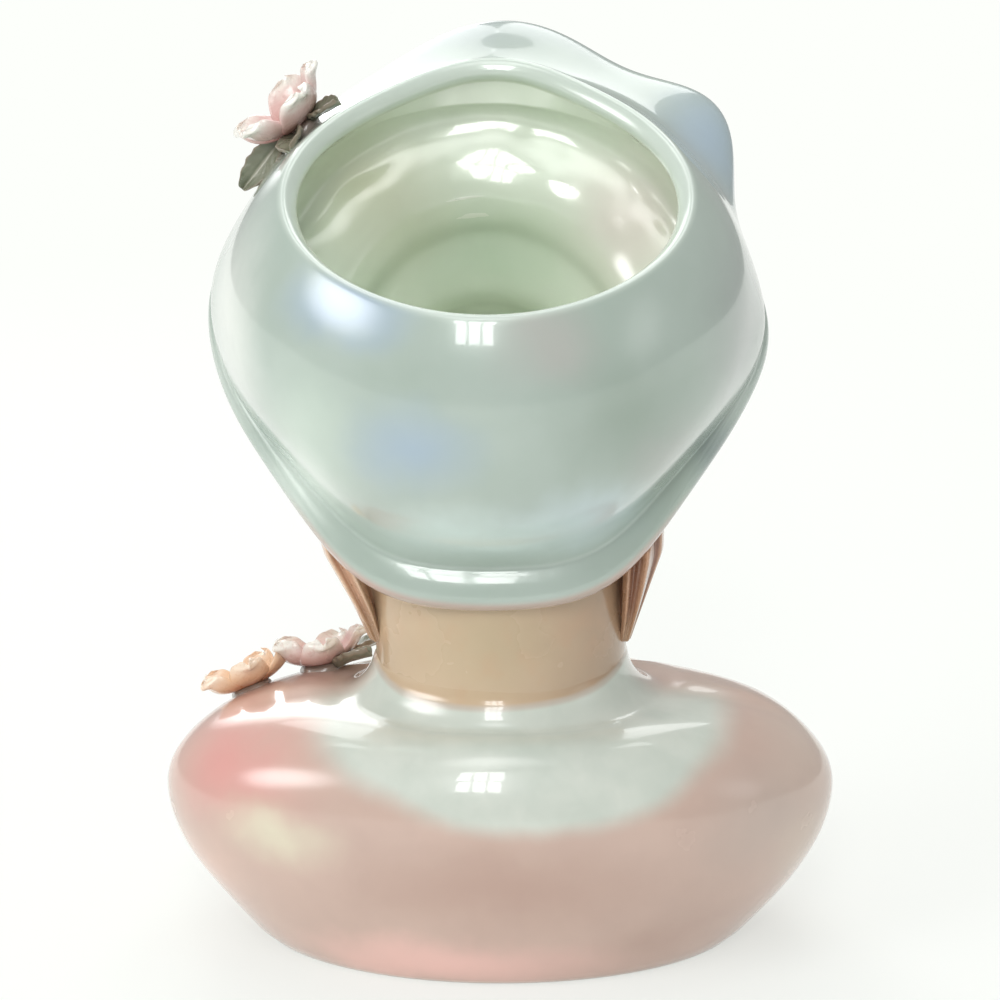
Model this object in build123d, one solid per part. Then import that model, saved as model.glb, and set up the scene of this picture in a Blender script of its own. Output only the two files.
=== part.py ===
from build123d import *
from math import cos, exp, hypot, pi, radians, sin, sqrt
import os

# Head planter: a slip-cast lady's head and shoulders. Millimetres, +Z up, the face looks along -Y,
# and the origin is the centre of the flat foot.

# Castings
wall = 4.0
floor_thickness = 5.0
foot_width = 89.0
foot_depth = 60.0
foot_ring_width = 5.0
foot_recess_depth = 1.6
shoulder_width = 120.4
shoulder_depth = 68.0
shoulder_height = 27.5
shoulder_top_height = 44.0
collar_rise = 10.0
collar_height = shoulder_top_height + collar_rise
collar_edge = 1.0
shelf_share_across = 0.19
shelf_share_back = 0.25
belly_ring_shares = (0.0, 0.12, 0.3, 0.5, 0.75, 1.0)
shoulder_ring_turns = (30.0, 52.0, 70.0, 84.0)
collar_ring_turns = (35.0, 65.0, 90.0)

neck_half_width = 22.2
neck_half_depth = 19.2
neck_spigot_depth = 9.0
neck_ledge = 2.0
neck_flare = 3.2
neck_waist_rise = 8.0
neck_waist_lean = 0.3
neck_waist_flare = 0.15
neck_top_height = 90.0

# Head
face_half_width = 29.0
face_half_depth = 29.5
face_half_height = 36.5
skull_ring_turns = (-80.0, -62.0, -44.0, -27.0, -12.0, 3.0, 18.0, 33.0, 48.0, 63.0, 80.0)
face_centre_height = 101.0
face_centre_back = -9.0
chin_half_width = 13.2
chin_half_depth = 9.2
chin_half_height = 9.8
chin_forward = 15.5
chin_drop = 26.5
nose_bridge_rise = 8.2
nose_bridge_half_width = 1.9
nose_bridge_half_depth = 1.6
nose_bridge_slope = 0.45
nose_tip_drop = 4.0
nose_tip_reach = 2.6
nose_tip_slope = 0.3
nose_half_width = 3.7
nose_half_depth = 4.2
nose_half_height = 3.0
lip_drop = 16.0
lip_half_depth = 2.6
lip_half_height = 1.6
upper_lip_half_width = 7.4
upper_lip_rise = 0.9
lower_lip_half_width = 6.1
lower_lip_rise = -1.0
eyelid_rise = 4.0
eyelid_spacing = 23.0
eyelid_half_width = 6.6
eyelid_half_depth = 5.9
eyelid_half_height = 4.6
eyelid_sink = 3.6

# Hat: a dome on a brim plane that leans back from forehead to nape
head_lean = 2.4
hat_centre_back = -6.0
hat_centre_height = 108.0
hat_lean_back = 54.0
hat_radius = 49.0
hat_dome_height = 41.0
mouth_tilt = 28.0
mouth_offset = 29.7
mouth_lip_radius = 1.7
brim_thickness = 5.0
brim_overhang = 0.6
brim_flow = 7.0
brim_edge_inset = 1.8
hat_outline_points = 36

# Brim edge: inset as a share of the edge inset, and depth as a share of the thickness
brim_edge_steps = [(0.0, 0.0), (0.0, 0.35), (0.25, 0.75), (1.0, 1.0)]

# Brim waves: angle from the forehead towards +X, height beyond the crown, and half-width in degrees
brim_waves = [
    (-4.0, 15.0, 26.0),
    (-42.0, 11.5, 14.0),
    (36.0, 3.4, 17.0),
    (76.0, 1.6, 16.0),
    (-88.0, 1.4, 13.0),
    (-158.0, 1.6, 16.0),
    (158.0, 1.4, 16.0),
]

# Crown: its lower sides draw in towards the nape, most at one angle and less with height,
# and at the nape it steps back from the brim's edge and leaves a ledge
crown_draw_in = 4.4
crown_draw_angle = 124.0
crown_draw_spread = 27.0
nape_ledge_width = 6.5
nape_ledge_spread = 70.0
nape_ledge_fade = 4.0
crown_ring_shares = (0.0, 0.05, 0.1, 0.17, 0.26, 0.37, 0.49, 0.63, 0.76, 0.86, 0.93, 0.99)

# Hair
hair_thickness = 2.6
hair_band_width = 13.0
hair_fringe_half_angle = 98.0
hair_lock_half_width = 4.2
hair_lock_half_depth = 6.0
hair_lock_half_length = 13.0
hair_lock_height = 73.0
hair_lock_back = 7.0
hair_lock_splay = 10.0

# Applied flowers and leaves
petal_count = 5
petal_length = 8.4
petal_width = 7.4
petal_thickness = 2.2
petal_cup_depth = 0.8
petal_cup_radius = 4.2
petal_cup_out = 0.8
petal_root_out = 1.8
petal_root_sink = 0.4
pad_radius = 4.0
pad_height = 1.8
pad_sink = 1.2
centre_radius = 2.1
centre_rise = 1.5
leaf_length = 12.0
leaf_width = 5.6
leaf_thickness = 1.8
leaf_root_out = 3.2
leaf_root_rise = 1.2

hat_flower_angle = 41.0
hat_flower_height = 5.0
hat_flower_open = 50.0
shoulder_flower_open = 60.0
pink_flower_across = 33.5
pink_flower_forward = 14.5
orange_flower_across = 46.0
orange_flower_forward = 11.0

# Leaves: angle round the flower, and lift from its pad, in degrees
hat_leaf_places = [(-36.0, 8.0), (-108.0, 24.0), (36.0, 10.0)]
shoulder_leaf_places = [(-36.0, 18.0), (36.0, 16.0)]

far = 400.0


def ellipsoid(half_x, half_y, half_z):
    return scale(Sphere(1.0), by=(half_x, half_y, half_z))


def block_above(plane):
    """A half space: everything on the plane's positive side."""
    return plane * Pos(0, 0, far / 2) * Box(far, far, far)


# Frames
hat_plane = Plane(
    origin=(head_lean, hat_centre_back, hat_centre_height),
    x_dir=(-1, 0, 0),
    z_dir=(0, sin(radians(hat_lean_back)), cos(radians(hat_lean_back))),
)
mouth_normal = Vector(0, sin(radians(mouth_tilt)), cos(radians(mouth_tilt)))
mouth_plane = Plane(
    origin=hat_plane.origin + mouth_normal * mouth_offset,
    x_dir=(-1, 0, 0),
    z_dir=mouth_normal,
)


# Bust: a stack of ellipses, from the foot out to the shoulders and in to the collar
def bust_rings():
    foot_half, depth_half = foot_width / 2, foot_depth / 2
    shoulder_half, shoulder_back = shoulder_width / 2, shoulder_depth / 2
    collar_half = neck_half_width + collar_edge
    collar_back = neck_half_depth + collar_edge
    shelf_half = collar_half + shelf_share_across * (shoulder_half - collar_half)
    shelf_back = collar_back + shelf_share_back * (shoulder_back - collar_back)
    rings = []
    for share in belly_ring_shares:
        swell = sin(share * pi / 2)
        rings.append((
            share * shoulder_height,
            foot_half + (shoulder_half - foot_half) * swell,
            depth_half + (shoulder_back - depth_half) * swell,
        ))
    for turn in shoulder_ring_turns:
        rings.append((
            shoulder_height + (shoulder_top_height - shoulder_height) * sin(radians(turn)),
            shelf_half + (shoulder_half - shelf_half) * cos(radians(turn)),
            shelf_back + (shoulder_back - shelf_back) * cos(radians(turn)),
        ))
    for turn in collar_ring_turns:
        rise = 1 - cos(radians(turn))
        rings.append((
            shoulder_top_height + (collar_height - shoulder_top_height) * rise,
            shelf_half - (shelf_half - collar_half) * sin(radians(turn)),
            shelf_back - (shelf_back - collar_back) * sin(radians(turn)),
        ))
    return rings


def inset_rings(rings, depth):
    """The same stack moved in by depth, square to its outline seen from behind."""
    inner = []
    for index, (height, half_width, half_depth) in enumerate(rings):
        low = rings[max(index - 1, 0)]
        high = rings[min(index + 1, len(rings) - 1)]
        run, rise = high[1] - low[1], high[0] - low[0]
        length = hypot(run, rise)
        side, down = depth * rise / length, depth * run / length
        inner.append((height + down, half_width - side, half_depth - side))
    return inner


def ring_loft(rings):
    return loft([Pos(0, 0, height) * Ellipse(a, b) for height, a, b in rings])


# Neck: leans a little to the hat's side as it rises
def neck_solid(inset, run_out=0.0):
    foot = collar_height - neck_spigot_depth - run_out
    places = [
        (foot, 0.0, 0.0),
        (collar_height, 0.0, 0.0),
        (collar_height + neck_waist_rise, neck_waist_lean, neck_waist_flare),
        (neck_top_height, 1.0, 1.0),
    ]
    rings = []
    for height, lean, flare in places:
        ring = Ellipse(neck_half_width + neck_flare * flare - inset, neck_half_depth - inset)
        rings.append(Pos(head_lean * lean, 0, height) * ring)
    return loft(rings)


face_frame = Pos(head_lean, face_centre_back, face_centre_height)


def skull_solid(inset):
    rings = []
    for turn in skull_ring_turns:
        share = cos(radians(turn))
        ring = Ellipse((face_half_width - inset) * share, (face_half_depth - inset) * share)
        rings.append(Pos(0, 0, (face_half_height - inset) * sin(radians(turn))) * ring)
    return face_frame * loft(rings)


def face_front(across, height):
    """How far forward the plain face lies at a place on it."""
    share = 1 - (across / face_half_width) ** 2 - (height / face_half_height) ** 2
    return -face_half_depth * sqrt(max(share, 0.0))


def face_features():
    chin = Pos(0, -chin_forward, -chin_drop) * ellipsoid(chin_half_width, chin_half_depth, chin_half_height)
    bridge = Plane(
        origin=(0, face_front(0, nose_bridge_rise) + nose_bridge_half_depth / 2, nose_bridge_rise),
        z_dir=(0, -nose_bridge_slope, -1),
    )
    tip = Plane(
        origin=(0, face_front(0, -nose_tip_drop) - nose_tip_reach, -nose_tip_drop),
        z_dir=(0, -nose_tip_slope, -1),
    )
    nose = loft([
        bridge * Ellipse(nose_bridge_half_width, nose_bridge_half_depth),
        tip * Ellipse(nose_half_width, nose_half_depth),
    ])
    nose += Pos(*tip.origin) * ellipsoid(nose_half_width, nose_half_depth, nose_half_height)
    features = [chin, nose]
    for half_width, rise in (
        (upper_lip_half_width, upper_lip_rise),
        (lower_lip_half_width, lower_lip_rise),
    ):
        place = Pos(0, face_front(0, -lip_drop), rise - lip_drop)
        features.append(place * ellipsoid(half_width, lip_half_depth, lip_half_height))
    for across in (-eyelid_spacing / 2, eyelid_spacing / 2):
        place = Pos(across, face_front(across, eyelid_rise) + eyelid_sink, eyelid_rise)
        features.append(place * ellipsoid(eyelid_half_width, eyelid_half_depth, eyelid_half_height))
    return [face_frame * feature for feature in features]


def make_head_outer():
    head = skull_solid(0) + neck_solid(0)
    for feature in face_features():
        head += feature
    return head - block_above(hat_plane)


def make_head(outer):
    return outer - skull_solid(wall) - neck_solid(wall, run_out=wall)


def make_bust():
    rings = bust_rings()
    ledge_height = collar_height - neck_spigot_depth
    cavity = [ring for ring in inset_rings(rings, wall) if floor_thickness < ring[0] < ledge_height]
    cavity.insert(0, (floor_thickness, cavity[0][1] - wall, cavity[0][2] - wall))
    cavity.append((ledge_height, neck_half_width - neck_ledge, neck_half_depth - neck_ledge))
    recess = Ellipse(foot_width / 2 - foot_ring_width, foot_depth / 2 - foot_ring_width)
    socket = Pos(0, 0, ledge_height) * extrude(Ellipse(neck_half_width, neck_half_depth), neck_spigot_depth)
    throat = Pos(0, 0, ledge_height - neck_ledge) * extrude(
        Ellipse(neck_half_width - neck_ledge, neck_half_depth - neck_ledge), 2 * neck_ledge
    )
    return ring_loft(rings) - ring_loft(cavity) - throat - extrude(recess, foot_recess_depth) - socket


# Hat crown: half an egg on the brim plane, hollow, with the planting mouth cut across its top
def brim_spread(angle):
    """How far the brim's edge stands beyond the crown, at an angle from the forehead."""
    spread = brim_overhang
    for centre, height, half_width in brim_waves:
        away = (angle - centre + 180) % 360 - 180
        spread += height * exp(-((away / half_width) ** 2))
    return spread


def from_forehead(angle):
    return abs((angle + 180) % 360 - 180)


def nape_ledge(angle):
    """How far the crown's foot steps back from the brim's edge at the nape."""
    return nape_ledge_width * exp(-(((180 - from_forehead(angle)) / nape_ledge_spread) ** 2))


def crown_reach(angle, share, inset):
    """Distance from the hat's axis to the crown, at a share of its height."""
    away = (from_forehead(angle) - crown_draw_angle) / crown_draw_spread
    radius = hat_radius - inset - crown_draw_in * (1 - share) * exp(-away**2)
    radius -= nape_ledge(angle) * (1 - share) ** nape_ledge_fade
    return radius * sqrt(1 - share**2)


def outer_reach(angle, share):
    rise = share * hat_dome_height
    return crown_reach(angle, share, 0) + brim_spread(angle) * exp(-((rise / brim_flow) ** 2))


def hat_section(rise, reach):
    points = []
    for index in range(hat_outline_points):
        angle = 360 * index / hat_outline_points
        points.append((-reach(angle) * sin(radians(angle)), reach(angle) * cos(radians(angle))))
    return hat_plane * Pos(0, 0, rise) * make_face(Spline(*points, periodic=True))


def make_crown():
    outer, inner = [], []
    for share in crown_ring_shares:
        outer.append(hat_section(share * hat_dome_height, lambda angle: outer_reach(angle, share)))
        inner.append(hat_section(
            share * (hat_dome_height - wall),
            lambda angle: crown_reach(angle, share, wall),
        ))
    crown = loft(outer) - loft(inner) - block_above(mouth_plane)
    lip = crown.faces().sort_by(lambda face: (face.center() - mouth_plane.origin).dot(mouth_normal))[-1]
    return fillet(lip.edges(), mouth_lip_radius)


# Brim: a wavy ring in front of the crown, with the head standing through it
def make_brim(head_outer):
    sections = []
    for inset, depth in brim_edge_steps:
        edge = brim_edge_inset * inset
        sections.append(hat_section(
            -brim_thickness * depth,
            lambda angle: outer_reach(angle, 0) + nape_ledge(angle) - edge,
        ))
    return loft(sections) - head_outer - skull_solid(wall) - neck_solid(wall)


# Hair: a band over the forehead, and a lock at each side of the neck
def make_fringe(brim):
    band = skull_solid(-hair_thickness) - skull_solid(0)
    band -= block_above(hat_plane.offset(-brim_thickness))
    band -= hat_plane.offset(-brim_thickness - hair_band_width) * Pos(0, 0, -far / 2) * Box(far, far, far)
    lowest = -hat_radius * sin(radians(hair_fringe_half_angle - 90))
    band -= hat_plane * Pos(0, lowest - far / 2, 0) * Box(far, far, far)
    return (band - brim).solids().sort_by(SortBy.VOLUME)[-1]


def make_lock(side, head_outer, brim, fringe):
    place = Pos(head_lean + side * (neck_half_width + neck_flare), hair_lock_back, hair_lock_height)
    lock = place * Rot(0, side * hair_lock_splay, 0) * ellipsoid(
        hair_lock_half_width, hair_lock_half_depth, hair_lock_half_length
    )
    lock -= block_above(hat_plane.offset(-brim_thickness))
    lock = lock - head_outer - fringe - brim
    return lock.solids().sort_by(SortBy.VOLUME)[-1]


# Flowers: a pad on the casting, petals pinched round it and a ball in the middle
def flower_plane_on(point, outward, towards):
    """A flower's frame: Z out of the casting, X towards a chosen direction."""
    across = towards - outward * towards.dot(outward)
    return Plane(origin=point, x_dir=across, z_dir=outward)


def make_pad(plane):
    """A button of clay, sunk into a scored seat in its casting."""
    height = pad_height + pad_sink
    return plane * Pos(0, 0, -pad_sink) * extrude(Circle(pad_radius), height)


def petal_solid(opening):
    """One cupped petal, its root at the origin, leaning out from +Z by its opening."""
    petal = ellipsoid(petal_length / 2, petal_width / 2, petal_thickness / 2)
    hollow = Pos(petal_cup_out, 0, petal_thickness / 2 + petal_cup_radius - petal_cup_depth)
    petal -= hollow * Sphere(petal_cup_radius)
    return Rot(0, opening - 90, 0) * Pos(petal_length / 2, 0, 0) * petal


def make_petals(plane, opening, solids_below):
    root = Pos(petal_root_out, 0, pad_height - petal_root_sink)
    petals = []
    for index in range(petal_count):
        turn = Rot(0, 0, 360 * index / petal_count)
        petal = plane * turn * root * petal_solid(opening)
        for other in solids_below + petals:
            petal -= other
        petals.append(petal.solids().sort_by(SortBy.VOLUME)[-1])
    return petals


def make_centre(plane, solids_below):
    ball = plane * Pos(0, 0, pad_height + centre_rise) * Sphere(centre_radius)
    for other in solids_below:
        ball -= other
    return ball.solids().sort_by(SortBy.VOLUME)[-1]


def make_leaf(plane, place, solids_below):
    turn, lift = place
    leaf = ellipsoid(leaf_length / 2, leaf_width / 2, leaf_thickness / 2)
    start = Pos(leaf_root_out, 0, leaf_root_rise)
    leaf = plane * Rot(0, 0, turn) * start * Rot(0, -lift, 0) * Pos(leaf_length / 2, 0, 0) * leaf
    for other in solids_below:
        leaf -= other
    return leaf.solids().sort_by(SortBy.VOLUME)[-1]


def make_flower(name, plane, opening, neighbours):
    pad = make_pad(plane)
    petals = make_petals(plane, opening, neighbours + [pad])
    nodes = {f"{name}_pad": pad}
    for index, petal in enumerate(petals):
        nodes[f"{name}_petal_{index + 1}"] = petal
    nodes[f"{name}_centre"] = make_centre(plane, [pad] + petals)
    return nodes


def make_leaves(name, plane, places, flower):
    nodes = {}
    for index, place in enumerate(places):
        below = list(flower.values()) + list(nodes.values())
        nodes[f"{name}_{index + 1}"] = make_leaf(plane, place, below)
    return nodes


def surface_hit(body, start, direction):
    """Where a line first meets a casting, and the direction out of it there."""
    hits = body.find_intersection_points(Axis(start, direction))
    point, normal = min(hits, key=lambda hit: (hit[0] - start).dot(direction))
    return point, normal if normal.dot(direction) < 0 else -normal


def hat_flower_plane(crown):
    angle = radians(hat_flower_angle)
    radial = -hat_plane.x_dir * sin(angle) + hat_plane.y_dir * cos(angle)
    start = hat_plane.origin + radial * far + hat_plane.z_dir * hat_flower_height
    point, outward = surface_hit(crown, start, -radial)
    return flower_plane_on(point, outward, hat_plane.z_dir)


def shoulder_flower_plane(bust, across, forward):
    point, outward = surface_hit(bust, Vector(across, -forward, far), Vector(0, 0, -1))
    return flower_plane_on(point, outward, Vector(-1, 0, 0))


def make_nodes():
    head_outer = make_head_outer()
    nodes = {"head": make_head(head_outer), "hat_crown": make_crown()}
    nodes["hat_brim"] = make_brim(head_outer)
    nodes["bust"] = make_bust()
    nodes["hair_fringe"] = make_fringe(nodes["hat_brim"])
    for name, side in (("hair_lock_left", 1), ("hair_lock_right", -1)):
        nodes[name] = make_lock(side, head_outer, nodes["hat_brim"], nodes["hair_fringe"])

    plane = hat_flower_plane(nodes["hat_crown"])
    hat_flower = make_flower("hat_flower", plane, hat_flower_open, [])
    nodes.update(hat_flower)
    nodes.update(make_leaves("hat_leaf", plane, hat_leaf_places, hat_flower))
    for casting in ("hat_crown", "hat_brim"):
        nodes[casting] -= nodes["hat_flower_pad"]

    pink_plane = shoulder_flower_plane(nodes["bust"], pink_flower_across, pink_flower_forward)
    orange_plane = shoulder_flower_plane(nodes["bust"], orange_flower_across, orange_flower_forward)
    pink_flower = make_flower("pink_flower", pink_plane, shoulder_flower_open, [])
    nodes.update(pink_flower)
    pink_solids = list(pink_flower.values())
    nodes.update(make_flower("orange_flower", orange_plane, shoulder_flower_open, pink_solids))
    nodes.update(make_leaves("shoulder_leaf", pink_plane, shoulder_leaf_places, pink_flower))
    nodes["bust"] -= nodes["pink_flower_pad"]
    nodes["bust"] -= nodes["orange_flower_pad"]
    return nodes


def main():
    os.makedirs("parts", exist_ok=True)
    for name, shape in make_nodes().items():
        export_step(shape, f"parts/{name}.step")


main()
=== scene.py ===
from math import asin, atan2, copysign, cos, exp, pi, radians, sin, sqrt

import bmesh
import bpy
from mathutils import Matrix, Vector, noise


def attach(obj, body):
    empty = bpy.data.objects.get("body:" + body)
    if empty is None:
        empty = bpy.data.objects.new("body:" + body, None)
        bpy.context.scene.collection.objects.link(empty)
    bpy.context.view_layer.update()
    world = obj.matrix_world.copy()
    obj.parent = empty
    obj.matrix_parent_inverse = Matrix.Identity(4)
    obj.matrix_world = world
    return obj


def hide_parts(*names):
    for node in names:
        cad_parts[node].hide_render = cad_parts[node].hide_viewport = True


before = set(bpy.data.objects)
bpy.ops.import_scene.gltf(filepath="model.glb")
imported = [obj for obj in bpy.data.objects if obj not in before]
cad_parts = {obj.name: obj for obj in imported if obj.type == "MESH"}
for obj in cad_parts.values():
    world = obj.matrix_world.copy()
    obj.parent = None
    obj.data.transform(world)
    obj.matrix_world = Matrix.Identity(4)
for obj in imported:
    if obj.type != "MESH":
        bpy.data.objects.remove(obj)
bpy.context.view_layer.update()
mm = 0.001  # pieces are modelled in millimetres and scaled once at the end


def smoothStep(low, high, value):
    share = min(max((value - low) / (high - low), 0.0), 1.0)
    return share * share * (3 - 2 * share)


def bell(value, spread):
    return exp(-((value / spread) ** 2))


def loftRings(bm, segments, levels, place, shade=None):
    shadeLayer = bm.verts.layers.float.new("shade")
    turnLayer = bm.verts.layers.float.new("turn")
    ring = bmesh.ops.create_circle(bm, segments=segments, radius=1.0)["verts"]
    for v in ring:
        v[turnLayer] = atan2(v.co.x, v.co.y)
    edges = list({e for v in ring for e in v.link_edges})
    firstRing = ring
    for index, level in enumerate(levels):
        if index:
            grown = bmesh.ops.extrude_edge_only(bm, edges=edges)["geom"]
            ring = [g for g in grown if isinstance(g, bmesh.types.BMVert)]
            edges = [g for g in grown if isinstance(g, bmesh.types.BMEdge) and g.is_boundary]
        for v in ring:
            v[shadeLayer] = shade(level) if shade else 0.0
            v.co = place(v[turnLayer], level, v)
    return firstRing, ring


def fillRing(bm, ring):
    edges = list({e for v in ring for e in v.link_edges if e.is_boundary})
    bmesh.ops.edgenet_fill(bm, edges=edges)


def finishPiece(name, bm, materials, nodes, modifiers=(), tidy=True):
    if tidy:
        bmesh.ops.remove_doubles(bm, verts=bm.verts, dist=0.004)
        bmesh.ops.recalc_face_normals(bm, faces=bm.faces)
    bmesh.ops.scale(bm, vec=(mm, mm, mm), verts=bm.verts)
    mesh = bpy.data.meshes.new(name)
    bm.to_mesh(mesh)
    bm.free()
    mesh.shade_smooth()
    piece = bpy.data.objects.new(name, mesh)
    bpy.context.scene.collection.objects.link(piece)
    for material in materials:
        mesh.materials.append(material)
    for kind, settings in modifiers:
        made = piece.modifiers.new(kind.title(), kind)
        for key, value in settings.items():
            setattr(made, key, value)
    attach(piece, "root")
    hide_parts(*nodes)
    print("piece", name, len(mesh.vertices), "points")
    return piece


def subdivided(levels):
    return ("SUBSURF", {"levels": levels, "render_levels": levels})


# glaze shaders: Sock wraps a node socket so that sums read as Python
class Sock:
    def __init__(self, tree, out):
        self.tree = tree
        self.out = out

    def node(self, kind, settings=None, **inputs):
        return addNode(self.tree, kind, settings, **inputs)

    def math(self, operation, *values):
        made = self.tree.nodes.new("ShaderNodeMath")
        made.operation = operation
        for index, value in enumerate(values):
            plug(self.tree, made.inputs[index], value)
        return Sock(self.tree, made.outputs[0])

    def __add__(self, other):
        return self.math("ADD", self, other)

    def __radd__(self, other):
        return self.math("ADD", other, self)

    def __sub__(self, other):
        return self.math("SUBTRACT", self, other)

    def __rsub__(self, other):
        return self.math("SUBTRACT", other, self)

    def __mul__(self, other):
        return self.math("MULTIPLY", self, other)

    def __rmul__(self, other):
        return self.math("MULTIPLY", other, self)

    def __truediv__(self, other):
        return self.math("DIVIDE", self, other)

    def __rtruediv__(self, other):
        return self.math("DIVIDE", other, self)

    def __pow__(self, other):
        return self.math("POWER", self, other)

    def __abs__(self):
        return self.math("ABSOLUTE", self)


def plug(tree, socket, value):
    if isinstance(value, Sock):
        tree.links.new(value.out, socket)
    else:
        socket.default_value = value


def addNode(tree, kind, settings=None, output=0, **inputs):
    made = tree.nodes.new(kind)
    for key, value in (settings or {}).items():
        if key == "stops":
            ramp = made.color_ramp
            while len(ramp.elements) < len(value):
                ramp.elements.new(0.5)
            for element, (place, colour) in zip(ramp.elements, value):
                element.position = place
                element.color = colour
        else:
            setattr(made, key, value)
    for key, value in inputs.items():
        name = key.replace("_", " ")
        plug(tree, made.inputs[int(key[1:]) if key[1:].isdigit() else name], value)
    return Sock(tree, made.outputs[output])


def srgb(red, green, blue):
    parts = [part / 255 for part in (red, green, blue)]
    linear = [part / 12.92 if part <= 0.04045 else ((part + 0.055) / 1.055) ** 2.4 for part in parts]
    return (*linear, 1.0)


class Glaze:
    def __init__(self, name):
        self.material = bpy.data.materials.new(name)
        self.material.use_nodes = True
        self.tree = self.material.node_tree
        self.shader = self.tree.nodes["Principled BSDF"]
        place = self.make("ShaderNodeTexCoord", output=3)
        self.place = self.make("ShaderNodeVectorMath", {"operation": "SCALE"}, i0=place, Scale=1000.0)  # in mm
        split = self.make("ShaderNodeSeparateXYZ", Vector=self.place).out.node
        self.x, self.y, self.z = [Sock(self.tree, socket) for socket in split.outputs]

    def make(self, kind, settings=None, output=0, **inputs):
        return addNode(self.tree, kind, settings, output, **inputs)

    def noise(self, size, detail=2.0, rough=0.5, output=0, warp=0.0, place=None):
        return self.make("ShaderNodeTexNoise", output=output, Vector=place or self.place, Scale=1.0 / size,
                         Detail=detail, Roughness=rough, Distortion=warp)

    def step(self, value, low, high):
        return self.make("ShaderNodeMapRange", {"interpolation_type": "SMOOTHSTEP"}, Value=value,
                         i1=low, i2=high)

    def mix(self, share, first, second, blend="MIX"):
        made = self.tree.nodes.new("ShaderNodeMix")
        made.data_type = "RGBA"
        made.blend_type = blend
        plug(self.tree, made.inputs[0], share)
        plug(self.tree, made.inputs[6], first)
        plug(self.tree, made.inputs[7], second)
        return Sock(self.tree, made.outputs[2])

    def attribute(self, name):
        return self.make("ShaderNodeAttribute", {"attribute_name": name}, output=2)

    def bloom(self, centre, radii, place=None):
        away = self.make("ShaderNodeVectorMath", {"operation": "SUBTRACT"}, i0=place or self.place, i1=centre)
        reach = self.make("ShaderNodeVectorMath", {"operation": "DIVIDE"}, i0=away, i1=radii)
        far = self.make("ShaderNodeVectorMath", {"operation": "LENGTH"}, output=1, i0=reach)
        return self.step(far, 1.0, 0.0)

    def warped(self, size, amount):
        lumps = self.make("ShaderNodeTexNoise", output=1, Vector=self.place, Scale=1.0 / size, Detail=3.0)
        centred = self.make("ShaderNodeVectorMath", {"operation": "SUBTRACT"}, i0=lumps, i1=(0.5, 0.5, 0.5))
        pushed = self.make("ShaderNodeVectorMath", {"operation": "SCALE"}, i0=centred, Scale=2.0 * amount)
        return self.make("ShaderNodeVectorMath", {"operation": "ADD"}, i0=self.place, i1=pushed)

    def washes(self, colour, washList, place):
        for centre, radii, tint, strength in washList:
            colour = self.mix(self.bloom(centre, radii, place) * strength, colour, srgb(*tint))
        return colour

    def rise(self, point, normal):
        away = self.make("ShaderNodeVectorMath", {"operation": "SUBTRACT"}, i0=self.place, i1=point)
        return self.make("ShaderNodeVectorMath", {"operation": "DOT_PRODUCT"}, output=1, i0=away, i1=normal)

    def gloss(self, low, high, coat=0.7, size=9.0):
        self.set(Roughness=low + (high - low) * self.noise(size, 3.0), Coat_Weight=coat, Coat_Roughness=0.04)

    def set(self, **inputs):
        for key, value in inputs.items():
            plug(self.tree, self.shader.inputs[key.replace("_", " ")], value)

    def bump(self, height, depth):
        self.set(Normal=self.make("ShaderNodeBump", Strength=1.0, Distance=depth * mm, Height=height))


# studio: a window behind the camera, a skylight over the figure, soft panels and a pale floor
studio = dict(
    aim=(0.2, 0.0, 80.0), elevation=15.0, distance=494.0, lens=100.0,
    ambient=0.39, floorGlow=(0.6, 1.0), floorFade=(0.2, 0.75),
    # place in metres, width, height, watts
    panels=dict(
        left=((1.0, 0.5, 0.68), 1.0, 0.7, 7.0),
        top=((0.05, 0.5, 1.05), 0.6, 0.6, 1.7),
        right=((-0.95, 0.45, 0.4), 0.5, 0.6, 0.35),
        front=((0.3, -1.0, 0.5), 0.8, 0.7, 4.0),
    ),
    window=dict(azimuth=5.0, elevation=35.0, away=1.25, columns=3, pane=(0.08, 0.24), gap=0.02, watts=0.6),
    skylight=dict(azimuth=178.0, elevation=64.0, away=1.0, columns=2, pane=(0.34, 0.46), gap=0.06, watts=1.15),
)


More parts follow.
